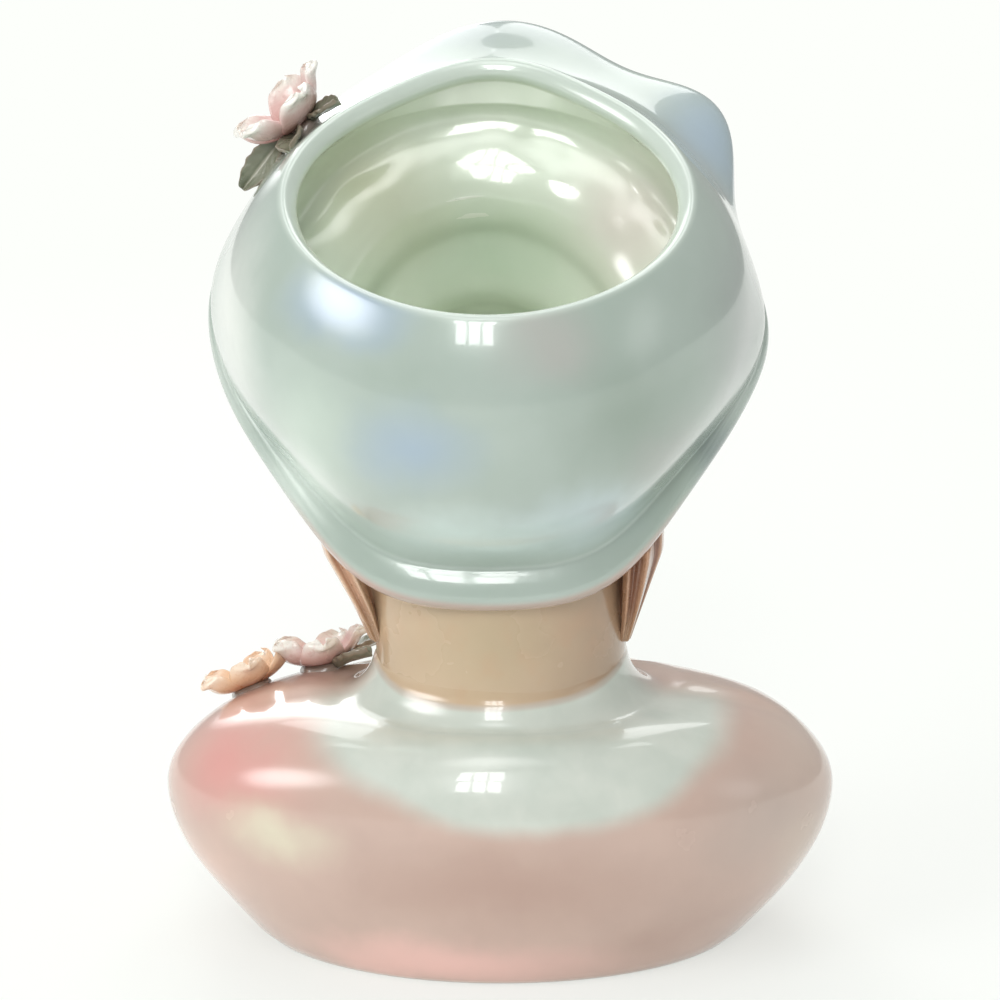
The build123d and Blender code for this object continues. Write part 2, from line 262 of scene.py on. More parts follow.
def makeStudio(s):
    camera = bpy.data.objects.new("camera", bpy.data.cameras.new("camera"))
    camera.data.lens = s["lens"]
    camera.data.clip_end = 20.0
    lift = radians(s["elevation"])
    aim = Vector(s["aim"]) * mm
    camera.location = aim + Vector((0, cos(lift), sin(lift))) * s["distance"] * mm
    camera.rotation_euler = (aim - camera.location).to_track_quat("-Z", "Y").to_euler()
    bpy.context.scene.collection.objects.link(camera)
    bpy.context.scene.camera = camera

    def panel(name, place, width, height, watts, soft=False):
        lamp = bpy.data.lights.new(name, "AREA")
        lamp.shape = "RECTANGLE"
        lamp.size = width
        lamp.size_y = height
        lamp.energy = watts
        if soft:  # a softbox fades out towards its border
            lamp.use_nodes = True
            tree = lamp.node_tree
            spot = addNode(tree, "ShaderNodeNewGeometry", output=5)
            off = addNode(tree, "ShaderNodeVectorMath", {"operation": "DISTANCE"}, output=1, i0=spot, i1=(0.5, 0.5, 0.0))
            fade = addNode(tree, "ShaderNodeMapRange", {"interpolation_type": "SMOOTHSTEP"}, Value=off,
                           i1=0.5, i2=0.1, i3=0.0, i4=2.2)
            plug(tree, tree.nodes["Emission"].inputs["Strength"], fade)
        light = bpy.data.objects.new(name, lamp)
        light.location = place
        light.rotation_euler = (aim - Vector(place)).to_track_quat("-Z", "Y").to_euler()
        bpy.context.scene.collection.objects.link(light)

    for name, settings in s["panels"].items():
        panel(name, *settings, soft=True)
    for name in ("window", "skylight"):  # panes with bars between, so that the glaze shows a window
        w = s[name]
        turn, lift = radians(w["azimuth"]), radians(w["elevation"])
        out = Vector((sin(turn) * cos(lift), cos(turn) * cos(lift), sin(lift)))
        across = Vector((cos(turn), -sin(turn), 0))
        up = across.cross(out)
        for column in range(w["columns"]):
            for row in (-0.5, 0.5):
                shift = across * (column - (w["columns"] - 1) / 2) * (w["pane"][0] + w["gap"])
                shift += up * row * (w["pane"][1] + w["gap"])
                panel(f"{name}_{column}_{row}", aim + out * w["away"] + shift, *w["pane"], w["watts"])

    world = bpy.data.worlds.new("studio")
    world.use_nodes = True
    tree = world.node_tree
    background = tree.nodes["Background"]
    background.inputs["Color"].default_value = (0.98, 1.0, 0.97, 1.0)
    rays = tree.nodes.new("ShaderNodeLightPath")
    seen = Sock(tree, rays.outputs["Is Camera Ray"])
    plug(tree, background.inputs["Strength"], s["ambient"] + (1 - s["ambient"]) * seen)
    bpy.context.scene.world = world

    bm = bmesh.new()
    bmesh.ops.create_grid(bm, x_segments=2, y_segments=2, size=6.0)
    mesh = bpy.data.meshes.new("floor")
    bm.to_mesh(mesh)
    bm.free()
    floor = bpy.data.objects.new("floor", mesh)
    bpy.context.scene.collection.objects.link(floor)
    paper = bpy.data.materials.new("pale_floor")
    paper.use_nodes = True
    tree = paper.node_tree
    shader = tree.nodes["Principled BSDF"]
    shader.inputs["Base Color"].default_value = (0.9, 0.92, 0.9, 1.0)
    shader.inputs["Roughness"].default_value = 0.9
    shader.inputs["Specular IOR Level"].default_value = 0.1
    glow = tree.nodes.new("ShaderNodeEmission")
    glow.inputs["Color"].default_value = srgb(253, 255, 251)
    rays = tree.nodes.new("ShaderNodeLightPath")
    seen = Sock(tree, rays.outputs["Is Camera Ray"]) + Sock(tree, rays.outputs["Is Glossy Ray"])
    place = addNode(tree, "ShaderNodeTexCoord", output=3)
    far = addNode(tree, "ShaderNodeVectorMath", {"operation": "LENGTH"}, output=1, i0=place)
    near, beyond = s["floorGlow"]
    fade = addNode(tree, "ShaderNodeMapRange", {"interpolation_type": "SMOOTHSTEP"}, Value=far,
                   i1=s["floorFade"][0], i2=s["floorFade"][1], i3=near, i4=beyond)
    both = tree.nodes.new("ShaderNodeMixShader")
    plug(tree, both.inputs[0], fade * seen)
    tree.links.new(shader.outputs[0], both.inputs[1])
    tree.links.new(glow.outputs[0], both.inputs[2])
    tree.links.new(both.outputs[0], tree.nodes["Material Output"].inputs["Surface"])
    mesh.materials.append(paper)
    bpy.context.scene.view_settings.view_transform = "Standard"
    print("studio ready")


makeStudio(studio)


# hat: crown, wavy brim, ledge at the nape and planting mouth in one skin
hat = dict(
    centre=(2.4, -6.0, 108.0), leanBack=54.0, radius=49.0, domeHeight=41.0, wall=4.2,
    mouthTilt=28.0, mouthOffset=29.7, overhang=0.6, brimDepth=5.0, flow=7.0,
    waves=[(-4, 15.0, 26), (-42, 11.5, 14), (36, 3.4, 17), (76, 1.6, 16), (-88, 1.4, 13), (-158, 1.6, 16),
           (158, 1.4, 16)],
    drawIn=4.4, drawAngle=124.0, drawSpread=27.0,
    ledge=8.5, ledgeSpread=66.0, ledgeFade=2.4, ledgeFlow=0.16, ledgeRoll=1.1, edgeRound=1.7,
    skullCentre=(2.4, -9.0, 101.0), skullHalf=(29.0, 29.5, 36.5), skullWall=4.0,
    floorRise=0.9, brow=12.0, browDrop=8.0, throat=20.0, lining=4.0, lipSquare=0.72, segments=160,
)
hatLean = radians(hat["leanBack"])
hatOut = Vector((0, sin(hatLean), cos(hatLean)))  # square to the brim
hatUp = Vector((0, -cos(hatLean), sin(hatLean)))  # up the brim, towards the forehead
hatSide = Vector((1, 0, 0))


def hatPoint(turn, reach, rise):
    along = hatUp * cos(turn) + hatSide * sin(turn)
    return Vector(hat["centre"]) + along * reach + hatOut * rise


def brimSpread(turn):
    spread = hat["overhang"]
    for centre, height, width in hat["waves"]:
        away = (turn * 180 / pi - centre + 180) % 360 - 180
        spread += height * bell(away, width)
    return spread


def fromForehead(turn):
    return abs((turn * 180 / pi + 180) % 360 - 180)


def napeLedge(turn):
    return hat["ledge"] * bell(180 - fromForehead(turn), hat["ledgeSpread"])


def crownReach(turn, share, inset):
    drawn = hat["drawIn"] * (1 - share) * bell(fromForehead(turn) - hat["drawAngle"], hat["drawSpread"])
    drawn += napeLedge(turn) * (1 - share) ** hat["ledgeFade"]
    return (hat["radius"] - inset - drawn) * sqrt(max(1 - share ** 2, 0.0))


def crownPoint(turn, share, inset):
    rise = share * (hat["domeHeight"] - inset)
    reach = crownReach(turn, share, inset)
    if inset == 0:
        reach += brimSpread(turn) * bell(rise, hat["flow"])
        reach += hat["ledgeFlow"] * napeLedge(turn) * bell(rise - ledgeRise(turn), 2.6)
    return Vector((reach, rise))


def ledgeRise(turn):
    return hat["ledgeRoll"] * napeLedge(turn) / hat["ledge"]


def brimReach(turn):
    return crownReach(turn, 0.0, 0.0) + brimSpread(turn) + napeLedge(turn)


def mouthRise(turn):
    tilt = radians(hat["mouthTilt"])
    normal = Vector((0, sin(tilt), cos(tilt)))
    across = normal.dot(hatUp) * hat["radius"] * cos(turn)
    upright = normal.dot(hatOut) * hat["domeHeight"]
    return asin(hat["mouthOffset"] / sqrt(across ** 2 + upright ** 2)) - atan2(across, upright)


def skullReach(turn, rise, inset):
    start = hatPoint(turn, 0.0, rise) - Vector(hat["skullCentre"])
    along = hatPoint(turn, 1.0, 0.0) - hatPoint(turn, 0.0, 0.0)
    half = [size - inset for size in hat["skullHalf"]]
    a = sum((d / h) ** 2 for d, h in zip(along, half))
    b = sum(2 * s * d / h ** 2 for s, d, h in zip(start, along, half))
    c = sum((s / h) ** 2 for s, h in zip(start, half)) - 1
    return (-b + sqrt(max(b * b - 4 * a * c, 0.0))) / (2 * a)


def slipCast(point, amount):
    lump = noise.noise(point / 13.0) + 0.4 * noise.noise(point / 6.0)
    return point + hatOut * 0.9 * amount * max(lump, -0.3)


def hatPlace(turn, level, v):
    zone, share = level
    lipSwing = mouthRise(turn) - 0.045
    edge, round_ = brimReach(turn), hat["edgeRound"]
    ripple = 0.3 * sin(9 * turn + 0.7)
    if zone == "under":
        inner = 1 / sqrt((sin(turn) / 27.0) ** 2 + (cos(turn) / (28.5 if cos(turn) > 0 else 41.0)) ** 2)
        return hatPoint(turn, inner + (edge - round_ - inner) * share, -hat["brimDepth"] - ripple * share)
    if zone == "edge":
        around = radians(-80 + 150 * share)
        rise = -2.6 + 2.4 * sin(around) - ripple * (1 - share)
        return hatPoint(turn, edge - round_ + round_ * cos(around), rise)
    foot = crownPoint(turn, ledgeRise(turn) / hat["domeHeight"], 0.0)
    if zone == "ledge":
        start = Vector((edge - round_ + round_ * cos(radians(70)), -2.6 + 2.4 * sin(radians(70))))
        roll = 1 - (1 - share) ** 2
        return hatPoint(turn, start.x + (foot.x - start.x) * share, start.y + (foot.y - start.y) * roll)
    if zone == "outside":
        low = asin(ledgeRise(turn) / hat["domeHeight"])
        swing = low + (lipSwing - low) * share
        return hatPoint(turn, *crownPoint(turn, sin(swing), 0.0))
    wall = hat["wall"]
    top = crownPoint(turn, sin(lipSwing), 0.0)
    tangent = Vector((-hat["radius"] * sin(lipSwing), hat["domeHeight"] * cos(lipSwing))).normalized()
    normal = Vector((tangent.y, -tangent.x))
    centre = top - normal * wall / 2
    if zone == "lip":
        around, square = pi * share, hat["lipSquare"]
        across = copysign(abs(cos(around)) ** square, cos(around))
        along = max(sin(around), 0.0) ** square
        roll = centre + normal * across * wall / 2 + tangent * along * wall * 0.52
        return hatPoint(turn, roll.x, roll.y)
    lip = centre - normal * wall / 2
    low = min(0.5, lipSwing * 0.7)
    hole = skullReach(turn, 0.0, hat["skullWall"])
    brow = hat["brow"]
    if zone == "inside":
        swing = lipSwing + (low - lipSwing) * share
        start = crownPoint(turn, sin(lipSwing), wall)
        return slipCast(hatPoint(turn, *(crownPoint(turn, sin(swing), wall) + (lip - start) * (1 - share))), share)
    if zone == "bowl":
        turned, corner = crownPoint(turn, sin(low), wall), Vector((crownReach(turn, 0.0, wall) + 0.4, 0.3))
        last = Vector((min(hole + brow, corner.x - 1.5), hat["floorRise"]))
        bend = turned.lerp(corner, share).lerp(corner.lerp(last, share), share)
        return slipCast(hatPoint(turn, bend.x, bend.y), 1.0)
    brow = min(brow, crownReach(turn, 0.0, wall) - 1.1 - hole)
    if zone == "brow":
        around = pi / 2 * share
        rise = hat["floorRise"] - hat["browDrop"] * (1 - cos(around))
        hole = skullReach(turn, min(rise, 0.0), hat["skullWall"])
        point = hatPoint(turn, hole + brow * (1 - sin(around)) + 0.05, rise)
        return slipCast(point, 1 - 0.4 * share)
    rise = hat["floorRise"] - hat["browDrop"] - hat["throat"] * share
    lining = hat["lining"] * sin(pi * min(share * 1.15, 1.0)) ** 2
    return slipCast(hatPoint(turn, skullReach(turn, rise, hat["skullWall"] - 0.15 + lining), rise), 0.6 * (1 - share))


def hatShade(level):
    zone, share = level
    return {"lip": share, "inside": 1.0, "bowl": 1.0, "brow": 1.0, "well": 1.0}.get(zone, 0.0)


def makeHat():
    steps = dict(under=5, edge=6, ledge=8, outside=30, lip=10, inside=14, bowl=10, brow=8, well=16)
    levels = [("under", 0.0)]
    for zone, count in steps.items():
        levels += [(zone, n / count) for n in range(1, count + 1)]
    bm = bmesh.new()
    loftRings(bm, hat["segments"], levels, hatPlace, hatShade)
    nape = [v for v in bm.verts if v.co.y > -4 and abs((v.co - Vector(hat["centre"])).dot(hatOut) - 2.5) < 2.4]
    for _ in range(2):
        bmesh.ops.smooth_vert(bm, verts=nape, factor=0.4, use_axis_x=True, use_axis_y=True, use_axis_z=True)
    return bm


def hatGlaze():
    g = Glaze("pearl_hat")
    place = g.warped(16.0, 5.0)
    mottle = g.noise(20.0, 3.0, place=place)
    outside = g.mix(mottle, srgb(166, 182, 170), srgb(190, 202, 195))
    # Most of these washes are painted light. The pale ones down the left side are a painted highlight where the light
    # falls. The pale ones on the low band over the nape are a painted reflection of the pale floor. The grey and dark
    # green ones on the right are painted shade. The two blue ones are painted reflections of the room. The dark one at
    # (-40, 6, 90) is painted shade in a fold of the brim.
    outside = g.washes(outside, [
        ((48, 8, 115), (13, 24, 28), (240, 244, 237), 0.85), ((36, 25, 95), (17, 20, 22), (208, 223, 210), 0.75),
        ((26, 30, 121), (18, 20, 9), (156, 178, 206), 0.75), ((15, 36, 98), (17, 20, 12), (158, 180, 206), 0.65),
        ((-17, 30, 83), (24, 22, 11), (208, 226, 232), 0.8), ((-7, 32, 116), (13, 18, 9), (198, 188, 186), 0.5),
        ((-40, 5, 112), (14, 24, 22), (176, 176, 178), 0.6), ((-22, 34, 102), (22, 22, 16), (150, 166, 152), 0.75),
        ((6, 32, 81), (28, 18, 9), (220, 238, 234), 0.85), ((-30, 24, 94), (14, 20, 10), (184, 180, 178), 0.4),
        ((34, 18, 86), (14, 20, 12), (236, 247, 238), 0.8),
        ((2, -44, 152), (44, 13, 14), (160, 166, 184), 0.7), ((-38, -24, 140), (16, 18, 20), (178, 198, 220), 0.7), ((-40, 6, 90), (9, 18, 9), (104, 118, 122), 0.6),
    ], place)
    rise = g.rise(hat["centre"], tuple(hatOut))
    # painted reflection: a tan line along the lower edge of the brim over the nape stands for the neck's skin
    # reflected in the glaze
    rim = g.step(rise, -0.4, -1.6) * g.step(g.z, 86.0, 74.0)
    outside = g.mix(rim * 0.8, outside, srgb(206, 178, 168))
    # painted shade: the underside of the brim is painted darker
    outside = g.mix(g.step(rise, -4.2, -5.0) * 0.5, outside, srgb(150, 158, 150))
    inside = g.mix(g.noise(15.0, 3.0, place=place), srgb(214, 228, 206), srgb(234, 241, 226))
    # the pale wash low in the well at (2, -14, 100) is painted light against the shade down there
    inside = g.washes(inside, [
        ((24, -30, 130), (20, 26, 20), (214, 214, 184), 0.8), ((-24, -20, 126), (18, 26, 20), (226, 212, 206), 0.7),
        ((2, -34, 118), (22, 24, 14), (200, 220, 196), 0.6), ((2, -14, 100), (30, 30, 22), (236, 242, 226), 0.8),
    ], place)
    colour = g.mix(g.attribute("shade"), outside, inside)
    lipBand = g.step(abs(g.attribute("shade") - 0.5), 0.5, 0.3)
    colour = g.mix(lipBand * 0.6, colour, srgb(212, 224, 216))
    g.set(Base_Color=colour, Metallic=0.06 * g.noise(26.0, 2.0), IOR=1.55)
    g.gloss(0.14, 0.3, coat=0.85)
    g.bump(g.noise(14.0, 2.0) + 0.25 * g.noise(3.2, 2.0), 0.12)
    return g.material


finishPiece("hat_shell", makeHat(), [hatGlaze()], ["hat_crown", "hat_brim"], [subdivided(1)])


# bust: foot ring, belly, shoulders and a dress edge that closes round the neck
bust = dict(
    foot=(44.5, 30.0), footRing=5.0, recess=1.6, shoulder=(60.2, 34.0), shoulderHeight=27.5, topHeight=44.0,
    collar=(22.26, 19.26), collarHeight=54.0, shelf=(0.19, 0.25), segments=192, edgeStep=0.4, flap=0.8,
    neckline=(52.4, 4.2, 15.0), lean=-0.03,
)


def necklineHeight(x, y):
    side, back, front = bust["neckline"]
    return side - back * smoothStep(0.0, 22.0, y) - front * smoothStep(2.0, 30.0, -y) + bust["lean"] * x


def bustOutline(level):
    zone, share = level
    (footX, footY), (wideX, wideY), (topX, topY) = bust["foot"], bust["shoulder"], bust["collar"]
    shelfX = topX + 1 + bust["shelf"][0] * (wideX - topX)
    shelfY = topY + 1 + bust["shelf"][1] * (wideY - topY)
    low, high = bust["shoulderHeight"], bust["topHeight"]
    if zone == "recess":
        return (footX - bust["footRing"]) * share, (footY - bust["footRing"]) * share, bust["recess"]
    if zone == "ring":
        inset = bust["footRing"] * (1 - share)
        return footX - inset, footY - inset, 0.9 * (2 * abs(share - 0.5)) ** 4
    if zone == "belly":
        swell = sin(share * pi / 2)
        return footX + (wideX - footX) * swell, footY + (wideY - footY) * swell, 0.9 + (low - 0.9) * share
    turn = pi / 2 * share
    if zone == "shoulder":
        height = low + (high - low) * sin(turn)
        return shelfX + (wideX - shelfX) * cos(turn), shelfY + (wideY - shelfY) * cos(turn), height
    if zone == "collar":
        height = high + (bust["collarHeight"] - high) * (1 - cos(turn))
        return shelfX - (shelfX - topX) * sin(turn), shelfY - (shelfY - topY) * sin(turn), height
    return topX - 3.0 * share, topY - 3.0 * share, bust["collarHeight"] - 3.0 * share


def bustPlace(turn, level, v):
    a, b, height = bustOutline(level)
    x, y = a * sin(turn), b * cos(turn)
    point = Vector((x, y, height))
    if level[0] in ("belly", "shoulder", "collar"):
        outward = Vector((sin(turn) / a, cos(turn) / b, 0)).normalized()
        if level[0] == "shoulder":
            outward = outward * cos(level[1] * pi / 2) + Vector((0, 0, sin(level[1] * pi / 2)))
        if level[0] == "collar":
            outward = outward * sin(level[1] * pi / 2) + Vector((0, 0, cos(level[1] * pi / 2)))
        line = necklineHeight(x, y)
        point += outward * bust["edgeStep"] * smoothStep(line + 0.6, line - 0.6, height)
        flap = smoothStep(30.0, 35.0, -x) * smoothStep(58.0, 46.0, -x)
        flap += 0.4 * smoothStep(30.0, 36.0, x) * smoothStep(58.0, 46.0, x)
        flap *= smoothStep(3.0, -3.0, y) * smoothStep(-22.0, -8.0, y) * smoothStep(28.0, 38.0, height)
        point.z += bust["flap"] * flap
        uneven = 0.35 * noise.noise(Vector((x, y, height)) / 17.0)  # hand-finished
        point += outward * uneven * smoothStep(53.5, 46.0, height)
    return point


def bustShade(level):
    zone, share = level
    return {"recess": 1.0, "ring": 1.0 - smoothStep(0.75, 1.0, share)}.get(zone, 0.0)


def makeBust():
    steps = dict(recess=5, ring=8, belly=20, shoulder=30, collar=18, tuck=5)
    levels = [("recess", 0.04)]
    for zone, count in steps.items():
        levels += [(zone, n / count) for n in range(1, count + 1)]
    bm = bmesh.new()
    first, last = loftRings(bm, bust["segments"], levels, bustPlace, bustShade)
    fillRing(bm, first)
    return bm


def faceColour(g):
    return g.mix(g.noise(8.0, 3.0), srgb(230, 205, 180), srgb(238, 216, 194))


def skinColour(g):
    place = g.warped(14.0, 3.0)
    skin = g.mix(g.noise(15.0, 1.5, place=place), srgb(196, 170, 138), srgb(220, 194, 164))
    # darker towards the right of the neck: partly the paint's own brown, partly painted shade on the side away from
    # the light
    skin = g.mix(g.step(g.x, 6.0, -26.0) * 0.75, skin, srgb(168, 138, 114))
    skin = g.mix(g.bloom((3, 20, 60), (20, 14, 14), place) * 0.5, skin, srgb(182, 166, 132))
    skin = g.mix(g.step(g.noise(5.0, 2.0), 0.45, 0.75) * 0.2, skin, srgb(205, 160, 128))
    return g.mix(g.step(g.y, 6.0, -14.0), skin, faceColour(g))


def dressGlaze():
    g = Glaze("painted_dress")
    place = g.warped(14.0, 5.0)
    cloth = g.mix(g.noise(17.0, 3.0, place=place), srgb(198, 170, 158), srgb(220, 192, 178))
    cloth = g.washes(cloth, [
        ((0, 34, 20), (40, 24, 12), (192, 160, 146), 0.8), ((46, 14, 36), (24, 28, 14), (228, 160, 154), 0.85),
        ((38, 24, 27), (16, 14, 8), (231, 226, 200), 0.8), ((52, 10, 16), (12, 22, 12), (230, 192, 176), 0.8),
        ((-46, 16, 28), (20, 28, 18), (198, 180, 170), 0.8), ((-52, 6, 36), (14, 22, 12), (222, 200, 186), 0.7),
        ((12, 31, 4), (44, 18, 8), (248, 202, 192), 0.85), ((0, -32, 26), (44, 20, 22), (226, 196, 180), 0.7),
        ((-30, 30, 8), (18, 14, 8), (190, 158, 144), 0.5), ((-52, 6, 21), (10, 20, 12), (222, 208, 190), 0.7),
    ], place)
    mint = g.bloom((-4, 30, 50), (54, 400, 28), g.warped(26.0, 3.5))
    mint = g.step(mint, 0.1, 0.3) * g.step(g.y, -6.0, 8.0)
    pale = g.mix(g.noise(10.0, 3.0, place=place), srgb(194, 207, 197), srgb(232, 237, 228))
    colour = g.mix(mint * 0.92, cloth, pale)
    side, back, front = bust["neckline"]
    line = side - back * g.step(g.y, 0.0, 22.0) - front * g.step(g.y, -2.0, -30.0) + bust["lean"] * g.x
    above = g.z - line
    colour = g.mix(g.step(abs(above), 1.1, 0.2) * 0.45, colour, srgb(188, 150, 128))  # the painted edge
    colour = g.mix(g.step(above, -0.3, 0.5), colour, skinColour(g))
    bare = g.attribute("shade")
    colour = g.mix(bare, colour, g.mix(g.noise(1.4, 3.0), srgb(226, 220, 208), srgb(240, 236, 227)))
    rough = 0.16 + 0.16 * g.noise(9.0, 3.0)
    g.set(Base_Color=colour, Roughness=rough + (0.8 - rough) * bare, Coat_Weight=0.8 * (1 - bare), Coat_Roughness=0.04)
    g.bump(g.noise(12.0, 2.0) + 0.3 * g.noise(3.0, 2.0), 0.12)
    return g.material


finishPiece("dress_shell", makeBust(), [dressGlaze()], ["bust"])


# head: skull, jaw and neck run together, then the features are pushed out of the clay
head = dict(
    centre=(2.4, -9.0, 101.0), half=(29.0, 29.5, 36.5), chin=((2.4, -24.5, 74.5), (13.2, 9.2, 9.8)),
    jaw=((2.4, -17.0, 84.0), (21.0, 18.5, 17.0)), neck=(22.55, 19.55), neckFlare=3.2, voxel=0.75,
    wall=3.4, thinWall=0.9, thinning=3.5, cutRise=-2.0,
    # push in mm, then centre across and up from the face centre, then spreads
    pushes=[
        (1.1, 8.5, 11.0, 7.0, 2.6), (-2.4, 11.0, 5.2, 6.4, 4.4), (2.3, 11.2, 4.0, 4.4, 2.9), (1.1, 15.5, -6.5, 7.5, 6.5),
        (1.2, 3.1, -5.7, 1.5, 1.5), (-1.4, 1.7, -7.6, 1.0, 0.7), (-0.6, 7.4, -15.6, 1.3, 1.1),
    ],
    middle=[
        (2.2, 3.0, 2.3, 6.0), (3.6, -3.6, 2.6, 3.4), (2.4, -5.0, 2.4, 2.0), (-0.5, -10.4, 1.0, 1.8),
        (1.5, -13.7, 4.6, 1.3), (1.9, -18.0, 4.2, 1.6), (-1.0, -15.9, 6.2, 0.5), (-1.0, -21.4, 5.0, 1.5),
        (1.6, -26.5, 5.4, 3.6),
    ],
)


def mergedSkin(bm, voxel):
    mesh = bpy.data.meshes.new("merged")
    bm.to_mesh(mesh)
    bm.free()
    lump = bpy.data.objects.new("merged", mesh)
    bpy.context.scene.collection.objects.link(lump)
    remesh = lump.modifiers.new("Remesh", "REMESH")
    remesh.mode = "VOXEL"
    remesh.voxel_size = voxel
    whole = bpy.data.meshes.new_from_object(lump.evaluated_get(bpy.context.evaluated_depsgraph_get()))
    skin = bmesh.new()
    skin.from_mesh(whole)
    bpy.data.objects.remove(lump)
    bpy.data.meshes.remove(mesh)
    bpy.data.meshes.remove(whole)
    return skin


def ball(bm, centre, half, u=64, v=40):
    matrix = Matrix.Translation(centre) @ Matrix.Diagonal((*half, 1.0))
    return bmesh.ops.create_uvsphere(bm, u_segments=u, v_segments=v, radius=1.0, matrix=matrix)["verts"]


def neckPlace(turn, level, v):
    height, lean, flare = level
    a, b = head["neck"]
    return Vector((2.4 * lean + (a + head["neckFlare"] * flare) * sin(turn), b * cos(turn), height))


def makeHead():
    bm = bmesh.new()
    neckLevels = [(44.0, 0, 0), (50.0, 0, 0), (54.0, 0, 0), (58.0, 0.12, 0.05), (62.0, 0.3, 0.15), (68.0, 0.5, 0.42),
                  (75.0, 0.72, 0.65), (82.0, 0.9, 0.88), (90.0, 1, 1)]
    first, last = loftRings(bm, 96, neckLevels, neckPlace)
    fillRing(bm, first)
    fillRing(bm, last)
    ball(bm, head["centre"], head["half"], 96, 64)
    ball(bm, *head["chin"])
    ball(bm, *head["jaw"])
    bmesh.ops.recalc_face_normals(bm, faces=bm.faces)
    bm = mergedSkin(bm, head["voxel"])
    for _ in range(5):
        bmesh.ops.smooth_vert(bm, verts=bm.verts, factor=0.5, use_axis_x=True, use_axis_y=True, use_axis_z=True)
    jaw = [v for v in bm.verts if 60 < v.co.z < 96]
    for _ in range(24):
        bmesh.ops.smooth_vert(bm, verts=jaw, factor=0.5, use_axis_x=True, use_axis_y=True, use_axis_z=True)
    whole = bm.verts[:] + bm.edges[:] + bm.faces[:]
    bmesh.ops.bisect_plane(bm, geom=whole, plane_co=hatPoint(0, 0, head["cutRise"]), plane_no=hatOut, clear_outer=True)
    whole = bm.verts[:] + bm.edges[:] + bm.faces[:]
    bmesh.ops.bisect_plane(bm, geom=whole, plane_co=(0, 0, 46.0), plane_no=(0, 0, 1), clear_inner=True)
    outerSkin = bm.verts[:]
    bm.normal_update()
    copied = bmesh.ops.duplicate(bm, geom=bm.verts[:] + bm.edges[:] + bm.faces[:])["geom"]
    innerFaces = [g for g in copied if isinstance(g, bmesh.types.BMFace)]
    innerSkin = [g for g in copied if isinstance(g, bmesh.types.BMVert)]
    for v in innerSkin:  # the wall thins towards the hat, under the floor of the bowl
        below = head["cutRise"] - (v.co - Vector(hat["centre"])).dot(hatOut)
        full = smoothStep(0.0, head["thinning"], below)
        v.co -= v.normal * (head["thinWall"] + (head["wall"] - head["thinWall"]) * full)
    inside = [v for v in innerSkin if not v.is_boundary]
    for _ in range(8):
        bmesh.ops.smooth_vert(bm, verts=inside, factor=0.5, use_axis_x=True, use_axis_y=True, use_axis_z=True)
    bmesh.ops.reverse_faces(bm, faces=innerFaces)
    for f in innerFaces:
        f.material_index = 1
    middle = Vector(head["centre"])
    for v in outerSkin:
        u, w, depth = v.co.x - middle.x, v.co.z - middle.z, v.co.y - middle.y
        if depth > -4:
            continue
        push = 0.0
        for size, across, up, spreadU, spreadW in head["pushes"]:
            for side in (-1, 1):
                push += size * bell(u - side * across, spreadU) * bell(w - up, spreadW)
        for size, up, spreadU, spreadW in head["middle"]:
            push += size * bell(u, spreadU) * bell(w - up, spreadW)
        for side in (-1, 1):  # the crease over each eyelid and the closed lash line under it
            s = side * u
            if 4.5 < s < 18.5:
                ends = smoothStep(4.5, 7.0, s) * smoothStep(18.5, 15.5, s)
                push -= 0.55 * bell(w - (7.6 - 0.055 * (s - 11.2) ** 2), 0.55) * ends
                push -= 0.7 * bell(w - (1.2 + 0.045 * (s - 11.2) ** 2), 0.5) * ends
        v.co.y -= push * smoothStep(-4.0, -14.0, depth)
    for nearTop in (True, False):  # close the wall at the hat and at the foot of the neck
        rim = [e for e in bm.edges if e.is_boundary and (e.verts[0].co.z > 55) == nearTop]
        for f in bmesh.ops.bridge_loops(bm, edges=rim)["faces"]:
            f.material_index = 1
    return bm


def skinGlaze():
    g = Glaze("painted_skin")
    colour = skinColour(g)
    across, up = abs(g.x - head["centre"][0]), g.z - head["centre"][2]
    front = g.step(g.y, -16.0, -24.0)
    cheeks = front * g.step(abs(across - 16.0), 9.0, 1.0) * g.step(abs(up + 7.5), 9.0, 1.0)
    colour = g.mix(cheeks * 0.55, colour, srgb(222, 158, 138))
    # lips: full in the middle, drawn out to the corners, with a darker parting
    full = 1.04 - (across / 8.0) ** 2.0
    upper = g.step(abs(up + 14.3) - 1.7 * full, 0.3, -0.3)
    lower = g.step(abs(up + 17.5) - 1.9 * full, 0.3, -0.3)
    lips = front * g.step(across, 8.0, 7.0) * g.make("ShaderNodeMath", {"operation": "MAXIMUM"}, i0=upper, i1=lower)
    colour = g.mix(lips * 0.8, colour, g.mix(g.noise(3.0), srgb(196, 112, 104), srgb(208, 128, 116)))
    parting = front * g.step(abs(up + 15.9), 0.5, 0.15) * g.step(across, 7.0, 5.4)
    colour = g.mix(parting * 0.7, colour, srgb(140, 72, 68))
    away = across - 10.5
    brow = g.step(abs(up - 12.6 + 0.045 * away * away), 1.1, 0.45) * g.step(across, 4.2, 6.0) * g.step(across, 18.5, 15.0)
    colour = g.mix(front * brow * 0.75, colour, g.mix(g.noise(1.2), srgb(112, 78, 58), srgb(150, 110, 82)))
    middle = across - 11.2
    ends = g.step(across, 4.6, 6.2) * g.step(across, 18.4, 16.8)
    lash = g.step(abs(up - 1.2 - 0.045 * middle * middle), 0.62, 0.3) * ends
    colour = g.mix(front * lash * 0.9, colour, srgb(72, 50, 44))
    lid = g.step(abs(up - 4.6), 3.4, 1.6) * ends
    colour = g.mix(front * lid * 0.35, colour, srgb(206, 160, 140))
    g.set(Base_Color=colour)
    g.gloss(0.18, 0.34)
    g.bump(g.noise(9.0, 2.0) + 0.3 * g.noise(2.4, 2.0), 0.08)
    return g.material


